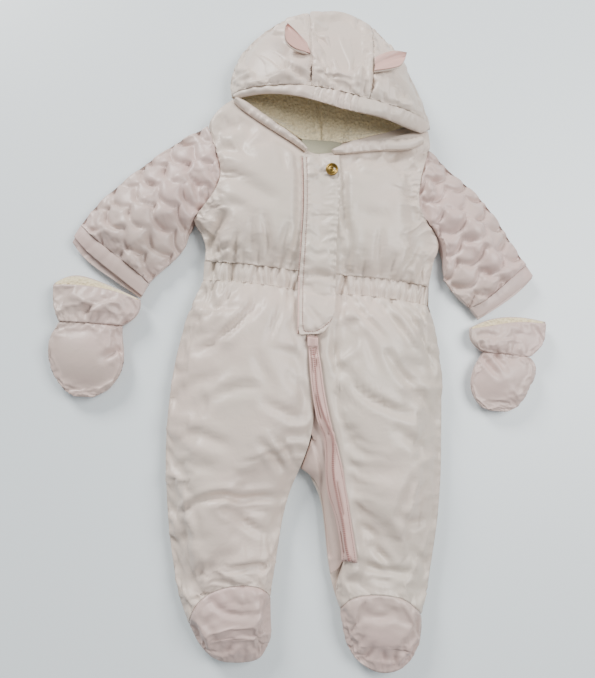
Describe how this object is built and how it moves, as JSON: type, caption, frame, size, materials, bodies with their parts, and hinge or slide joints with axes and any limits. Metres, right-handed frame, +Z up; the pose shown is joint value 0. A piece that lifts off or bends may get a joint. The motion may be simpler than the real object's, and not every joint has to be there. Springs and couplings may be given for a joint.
{
  "type": "baby snowsuit",
  "caption": "Padded, footed baby snowsuit laid flat on its back: eared hood lined with pile, storm flap with a snap, leg zip, gathered waist and a pair of loose mittens.",
  "frame": {"origin": "on the ground under the middle of the suit's footprint", "axes": "+X across the sleeves to the side of the zipped leg, +Y from the feet to the hood, +Z up from the ground through the cloth"},
  "size_m": [0.572, 0.7703, 0.0703],
  "materials": {
    "shell": "pearl satin",
    "quilted_shell": "pearl satin, stitched in curves",
    "pink_trim": "matt woven tape",
    "pile_lining": "short curly pile",
    "neck_facing_cloth": "matt",
    "snap_brass": "polished"
  },
  "bodies": {
    "root": {"bodice_back": "shell", "bodice_front_left": "shell", "bodice_front_right": "shell", "ear_inner_left": "pink_trim", "ear_inner_right": "pink_trim", "ear_outer_left": "shell", "ear_outer_right": "shell", "gusset": "pink_trim", "hood_brim": "shell", "hood_centre": "shell", "hood_lining": "pile_lining", "hood_rim_left": "shell", "hood_rim_right": "shell", "hood_side_left": "shell", "hood_side_right": "shell", "leg_back_left": "shell", "leg_back_right": "shell", "leg_front_left": "shell", "leg_front_right": "shell", "mitten_back_left": "shell", "mitten_back_right": "shell", "mitten_cuff_back_left": "shell", "mitten_cuff_back_right": "shell", "mitten_cuff_front_left": "shell", "mitten_cuff_front_right": "shell", "mitten_front_left": "shell", "mitten_front_right": "shell", "mitten_lining_left": "pile_lining", "mitten_lining_right": "pile_lining", "neck_facing": "neck_facing_cloth", "placket": "shell", "sleeve_back_left": "quilted_shell", "sleeve_back_right": "quilted_shell", "sleeve_front_left": "quilted_shell", "sleeve_front_right": "quilted_shell", "sleeve_hem_back_left": "quilted_shell", "sleeve_hem_back_right": "quilted_shell", "sleeve_hem_front_left": "quilted_shell", "sleeve_hem_front_right": "quilted_shell", "snap_cap": "snap_brass", "sole_left": "shell", "sole_right": "shell", "toe_left": "shell", "toe_right": "shell", "waist_back": "shell", "waist_front_left": "shell", "waist_front_right": "shell", "zip_chain": "pink_trim", "zip_garage": "pink_trim", "zip_tape_left": "pink_trim", "zip_tape_right": "pink_trim"}
  },
  "joints": []
}
